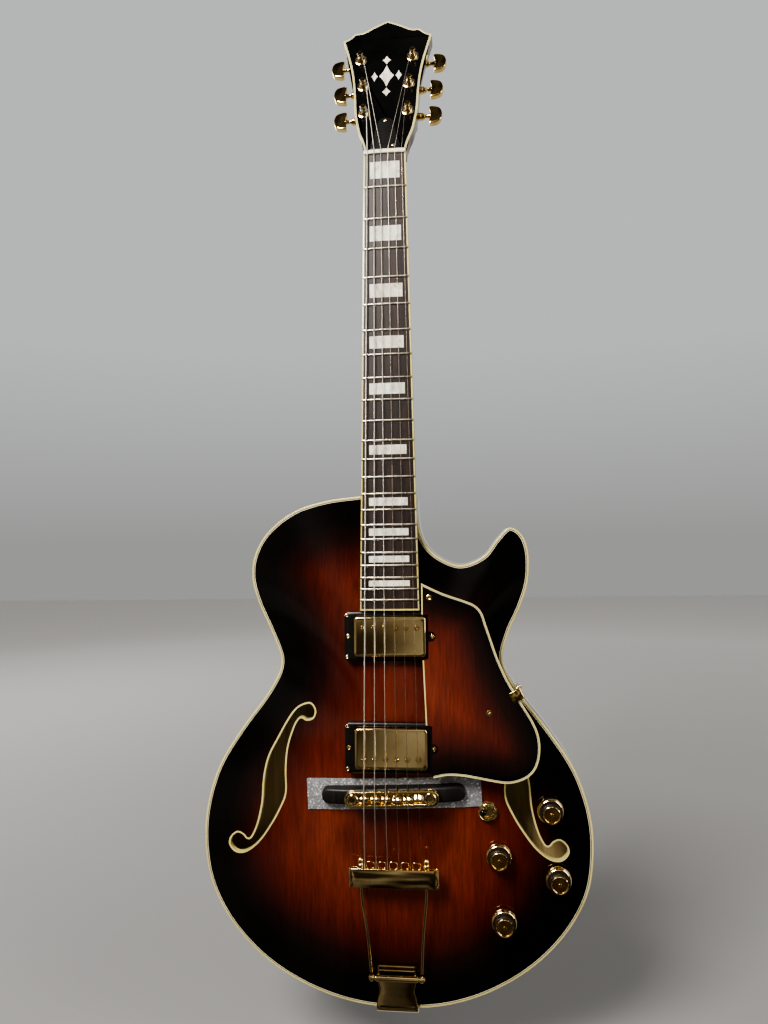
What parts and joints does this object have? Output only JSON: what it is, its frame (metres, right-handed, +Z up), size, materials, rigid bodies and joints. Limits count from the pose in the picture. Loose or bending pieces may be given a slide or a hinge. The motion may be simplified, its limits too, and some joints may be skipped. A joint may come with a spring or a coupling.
{
  "type": "electric guitar",
  "caption": "Single-cutaway hollow-body electric guitar with arched top, sound holes, floating pickguard, metal-covered pickups, trapeze tailpiece and geared tuners.",
  "frame": {"origin": "inside the neck at the nut line, where a wall hanger's yoke carries the guitar under the headstock", "axes": "+X towards the treble side, +Z up towards the headstock along the body's centre line, front faces -Y"},
  "size_m": [0.3829, 0.1113, 1.0406],
  "materials": {
    "sunburst_top": "gloss lacquered sunburst, dark red to black at the rim",
    "red_brown_lacquer": "gloss lacquered dark red-brown maple",
    "bare_spruce": "bare softwood inside the body",
    "cream_binding": "polished cream celluloid",
    "rosewood": "oiled dark rosewood",
    "ebony": "satin black ebony",
    "pearl": "pearl, polished flush",
    "bone": "polished bone",
    "black_plate": "gloss black",
    "grey_plate": "dark grey engraved plastic, left plain",
    "black_plastic": "satin black moulding",
    "gold": "gold plated, polished, light wear",
    "nickel_silver": "polished fret wire",
    "steel": "plain steel",
    "string_steel": "wound and plain steel",
    "pot_metal": "plain cast cans",
    "knob_black": "black grip with gold skirt and cap",
    "foam": "grey packing foam with a sparkle"
  },
  "bodies": {
    "root": {"back_plate": "red_brown_lacquer", "sides": "red_brown_lacquer", "top_plate": "sunburst_top", "body_bindings": "cream_binding", "linings": "bare_spruce", "end_blocks": "bare_spruce", "tone_bars": "bare_spruce", "f_hole_bindings": "cream_binding", "neck_shaft": "red_brown_lacquer", "headstock": "red_brown_lacquer", "truss_rod": "steel", "truss_rod_cover": "grey_plate", "fretboard": "rosewood", "fretboard_binding": "cream_binding", "frets": "nickel_silver", "block_inlays": "pearl", "nut": "bone", "headstock_veneer": "black_plate", "headstock_binding": "cream_binding", "headstock_inlay": "pearl", "tuner_housings": "gold", "pickguard": "sunburst_top", "pickguard_binding": "cream_binding", "pickguard_bracket": "gold", "pickup_rings": "black_plastic", "bridge_base": "ebony", "bridge_foam_sheet": "foam", "bridge_posts": "gold", "tail_bracket": "gold", "strings": "string_steel", "control_pots": "pot_metal", "toggle_switch": "gold", "output_jack": "gold", "strap_buttons": "gold", "screws": "gold"},
    "tuner_button_1": {"tuner_button_1": "gold"},
    "tuner_post_1": {"tuner_post_1": "gold"},
    "tuner_button_2": {"tuner_button_2": "gold"},
    "tuner_post_2": {"tuner_post_2": "gold"},
    "tuner_button_3": {"tuner_button_3": "gold"},
    "tuner_post_3": {"tuner_post_3": "gold"},
    "tuner_button_4": {"tuner_button_4": "gold"},
    "tuner_post_4": {"tuner_post_4": "gold"},
    "tuner_button_5": {"tuner_button_5": "gold"},
    "tuner_post_5": {"tuner_post_5": "gold"},
    "tuner_button_6": {"tuner_button_6": "gold"},
    "tuner_post_6": {"tuner_post_6": "gold"},
    "neck_pickup": {"neck_pickup": "gold"},
    "bridge_pickup": {"bridge_pickup": "gold"},
    "bridge": {"bridge_body": "gold", "saddles": "gold"},
    "bass_thumbwheel": {"bass_thumbwheel": "gold"},
    "treble_thumbwheel": {"treble_thumbwheel": "gold"},
    "tailpiece": {"tailpiece": "gold", "string_tails": "string_steel"},
    "neck_volume_knob": {"neck_volume_knob": "knob_black"},
    "bridge_volume_knob": {"bridge_volume_knob": "knob_black"},
    "neck_tone_knob": {"neck_tone_knob": "knob_black"},
    "bridge_tone_knob": {"bridge_tone_knob": "knob_black"},
    "switch_lever": {"toggle_lever": "black_plastic"}
  },
  "joints": [
    {"name": "tuner_1_turn", "type": "hinge", "parent": "root", "child": "tuner_button_1", "pos_m": [-0.023, 0.03127, 0.05866], "axis": [-1, 0, 0], "continuous": true},
    {"name": "post_1_turn", "type": "hinge", "parent": "root", "child": "tuner_post_1", "pos_m": [-0.023, 0.00971, 0.05476], "axis": [0, -0.9568, 0.2907], "continuous": true},
    {"name": "tuner_2_turn", "type": "hinge", "parent": "root", "child": "tuner_button_2", "pos_m": [-0.0243, 0.04188, 0.09359], "axis": [-1, 0, 0], "continuous": true},
    {"name": "post_2_turn", "type": "hinge", "parent": "root", "child": "tuner_post_2", "pos_m": [-0.0243, 0.02032, 0.08969], "axis": [0, -0.9568, 0.2907], "continuous": true},
    {"name": "tuner_3_turn", "type": "hinge", "parent": "root", "child": "tuner_button_3", "pos_m": [-0.028, 0.05264, 0.12899], "axis": [-1, 0, 0], "continuous": true},
    {"name": "post_3_turn", "type": "hinge", "parent": "root", "child": "tuner_post_3", "pos_m": [-0.028, 0.03108, 0.12509], "axis": [0, -0.9568, 0.2907], "continuous": true},
    {"name": "tuner_4_turn", "type": "hinge", "parent": "root", "child": "tuner_button_4", "pos_m": [0.028, 0.05264, 0.12899], "axis": [1, 0, 0], "continuous": true},
    {"name": "post_4_turn", "type": "hinge", "parent": "root", "child": "tuner_post_4", "pos_m": [0.028, 0.03108, 0.12509], "axis": [0, -0.9568, 0.2907], "continuous": true},
    {"name": "tuner_5_turn", "type": "hinge", "parent": "root", "child": "tuner_button_5", "pos_m": [0.0243, 0.04188, 0.09359], "axis": [1, 0, 0], "continuous": true},
    {"name": "post_5_turn", "type": "hinge", "parent": "root", "child": "tuner_post_5", "pos_m": [0.0243, 0.02032, 0.08969], "axis": [0, -0.9568, 0.2907], "continuous": true},
    {"name": "tuner_6_turn", "type": "hinge", "parent": "root", "child": "tuner_button_6", "pos_m": [0.023, 0.03127, 0.05866], "axis": [1, 0, 0], "continuous": true},
    {"name": "post_6_turn", "type": "hinge", "parent": "root", "child": "tuner_post_6", "pos_m": [0.023, 0.00971, 0.05476], "axis": [0, -0.9568, 0.2907], "continuous": true},
    {"name": "neck_pickup_height", "type": "slide", "parent": "root", "child": "neck_pickup", "axis": [0, -0.9987, 0.0506], "range_m": [-0.0015, 0.0015]},
    {"name": "bridge_pickup_height", "type": "slide", "parent": "root", "child": "bridge_pickup", "axis": [0, -0.9987, 0.0506], "range_m": [-0.0015, 0.0015]},
    {"name": "bridge_height", "type": "slide", "parent": "root", "child": "bridge", "axis": [0, -1, 0], "range_m": [-0.0021, 0.0028], "deforming": ["strings", "string_tails"]},
    {"name": "bass_wheel_turn", "type": "hinge", "parent": "bridge", "child": "bass_thumbwheel", "pos_m": [-0.03697, -0.041, -0.63942], "axis": [0, -1, 0], "range_deg": [-1080, 1440]},
    {"name": "treble_wheel_turn", "type": "hinge", "parent": "bridge", "child": "treble_thumbwheel", "pos_m": [0.03697, -0.041, -0.63658], "axis": [0, -1, 0], "range_deg": [-1080, 1440]},
    {"name": "tailpiece_swing", "type": "hinge", "parent": "root", "child": "tailpiece", "pos_m": [0, -0.022, -0.817], "axis": [1, 0, 0], "range_deg": [0, 12], "stiffness_Nm_per_rad": 4, "deforming": ["string_tails"]},
    {"name": "neck_volume_turn", "type": "hinge", "parent": "root", "child": "neck_volume_knob", "pos_m": [0.15, -0.03, -0.654], "axis": [0, -1, 0], "range_deg": [0, 300]},
    {"name": "bridge_volume_turn", "type": "hinge", "parent": "root", "child": "bridge_volume_knob", "pos_m": [0.1, -0.03, -0.697], "axis": [0, -1, 0], "range_deg": [0, 300]},
    {"name": "neck_tone_turn", "type": "hinge", "parent": "root", "child": "neck_tone_knob", "pos_m": [0.156, -0.03, -0.719], "axis": [0, -1, 0], "range_deg": [0, 300]},
    {"name": "bridge_tone_turn", "type": "hinge", "parent": "root", "child": "bridge_tone_knob", "pos_m": [0.104, -0.03, -0.76], "axis": [0, -1, 0], "range_deg": [0, 300]},
    {"name": "switch_throw", "type": "hinge", "parent": "root", "child": "switch_lever", "pos_m": [0.0905, -0.02034, -0.655], "axis": [0.7071, 0, 0.7071], "range_deg": [0, 36]}
  ],
  "couplings": [
    {"joint": "post_1_turn", "follows": "tuner_1_turn", "ratio": 0.071429},
    {"joint": "post_2_turn", "follows": "tuner_2_turn", "ratio": 0.071429},
    {"joint": "post_3_turn", "follows": "tuner_3_turn", "ratio": 0.071429},
    {"joint": "post_4_turn", "follows": "tuner_4_turn", "ratio": 0.071429},
    {"joint": "post_5_turn", "follows": "tuner_5_turn", "ratio": 0.071429},
    {"joint": "post_6_turn", "follows": "tuner_6_turn", "ratio": 0.071429},
    {"joint": "bass_wheel_turn", "follows": "bridge_height", "rad_per_m": 8976},
    {"joint": "treble_wheel_turn", "follows": "bridge_height", "rad_per_m": 8976}
  ]
}
